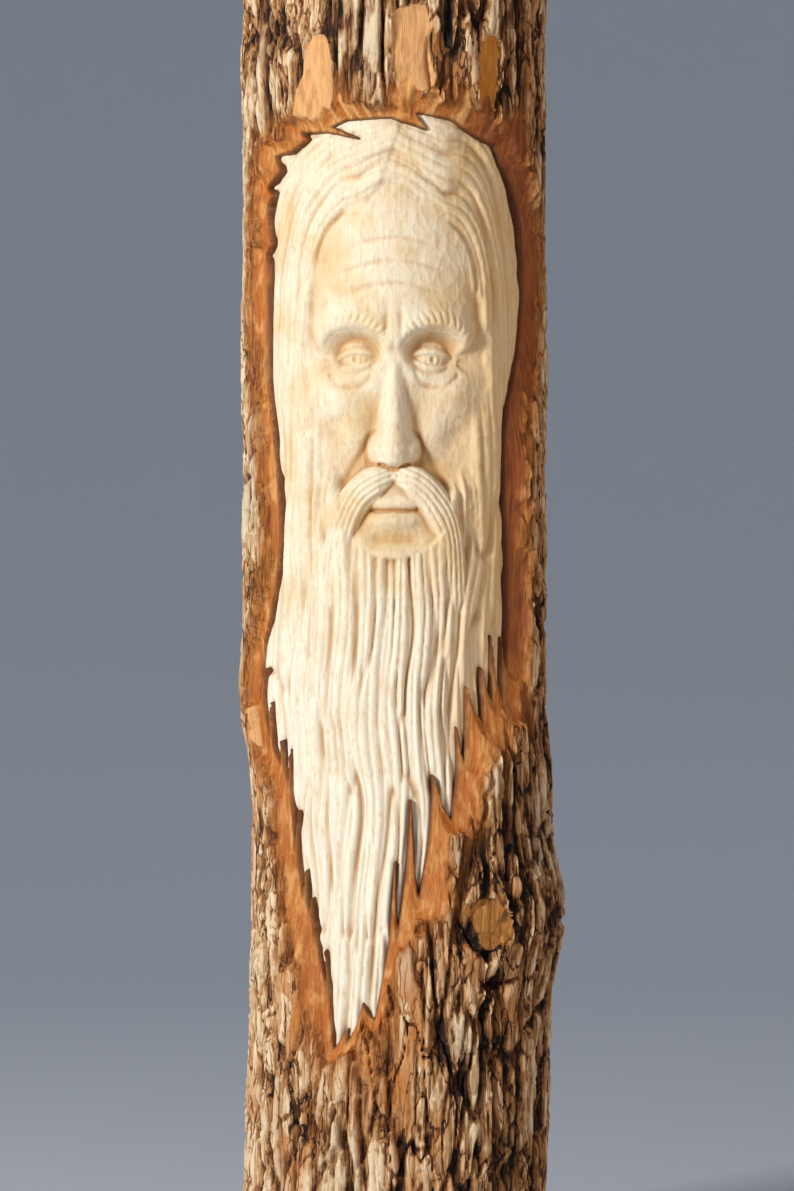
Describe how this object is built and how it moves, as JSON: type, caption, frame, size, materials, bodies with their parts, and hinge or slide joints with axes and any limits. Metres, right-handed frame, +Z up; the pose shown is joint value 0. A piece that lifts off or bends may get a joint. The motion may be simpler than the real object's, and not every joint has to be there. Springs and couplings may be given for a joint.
{
  "type": "tree face sculpture",
  "caption": "Upright length of bark-covered log with an old man's long-bearded face carved in relief through the bark on its front.",
  "frame": {"origin": "middle of the log's sawn foot, on the surface that it stands on", "axes": "+Z up along the log, the carved face looks along -Y, +X to the right as seen from the front"},
  "size_m": [0.1636, 0.1536, 0.68],
  "materials": {
    "log": "weathered bark with pale carved wood"
  },
  "bodies": {
    "root": {"carved_log": "log"}
  },
  "joints": []
}
